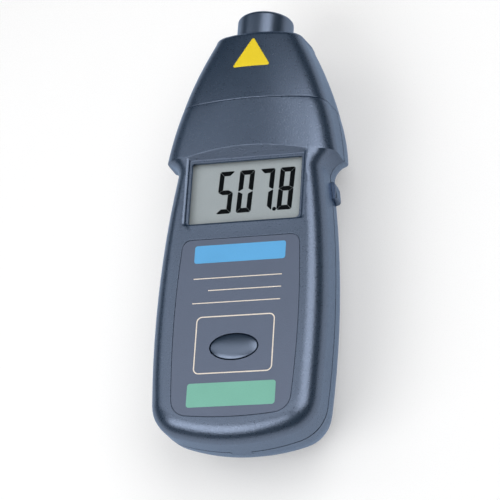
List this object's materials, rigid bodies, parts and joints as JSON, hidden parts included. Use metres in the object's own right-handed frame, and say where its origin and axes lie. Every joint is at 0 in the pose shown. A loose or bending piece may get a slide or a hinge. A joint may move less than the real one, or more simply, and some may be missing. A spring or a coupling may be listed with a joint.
{
  "type": "laser tachometer",
  "caption": "Handheld optical tachometer with a moulded grip, hooded display, memory button, side trigger and an optical snout at the nose.",
  "frame": {"origin": "middle of the underside as it lies on its back", "axes": "+X to the trigger side, +Y to the nose, +Z out of the display face"},
  "size_m": [0.0614, 0.1584, 0.0417],
  "materials": {
    "case": "fine textured, satin",
    "button": "smooth moulded",
    "label": "printed film",
    "window": "clear",
    "barrel": "satin black",
    "black": "moulded",
    "steel": "plated",
    "lens": "polished",
    "redwindow": "tinted",
    "brass": "turned",
    "board": "solder mask",
    "cable": "ribbon",
    "lcd": "matt polariser",
    "frame": "moulded",
    "zebra": "silicone",
    "can": "drawn",
    "sleeve": "shrunk film",
    "plunger": "moulded",
    "battery": "printed sleeve",
    "lead": "insulated wire"
  },
  "bodies": {
    "case": {"front_cover": "case", "rear_cover": "case", "nose_cap": "case", "face_label": "label", "display_window": "window", "case_screws": "steel", "lens_barrel": "barrel", "barrel_nut": "steel", "barrel_window": "redwindow", "optics_block": "black", "receiver_lens": "lens", "photodiode": "black", "laser_module": "brass", "sensor_board": "board", "sensor_cable": "cable", "main_board": "board", "board_screws": "steel", "lcd_panel": "lcd", "lcd_frame": "frame", "zebra_strips": "zebra", "processor_chip": "black", "crystal": "can", "capacitors": "sleeve", "memory_switch": "black", "trigger_switch": "black", "battery": "battery", "battery_snap": "black", "battery_leads": "lead"},
    "memory_button": {"memory_button": "button", "memory_plunger": "plunger"},
    "trigger": {"trigger_button": "button", "trigger_plunger": "plunger"},
    "battery_door": {"battery_door": "case"}
  },
  "joints": [
    {"name": "memory_press", "type": "slide", "parent": "case", "child": "memory_button", "axis": [0, 0, -1], "range_m": [0, 0.0008], "stiffness_N_per_m": 2500},
    {"name": "trigger_press", "type": "slide", "parent": "case", "child": "trigger", "axis": [-1, 0, 0], "range_m": [0, 0.001], "stiffness_N_per_m": 2500},
    {"name": "door_slide", "type": "slide", "parent": "case", "child": "battery_door", "axis": [0, -1, 0], "range_m": [0, 0.068]}
  ]
}
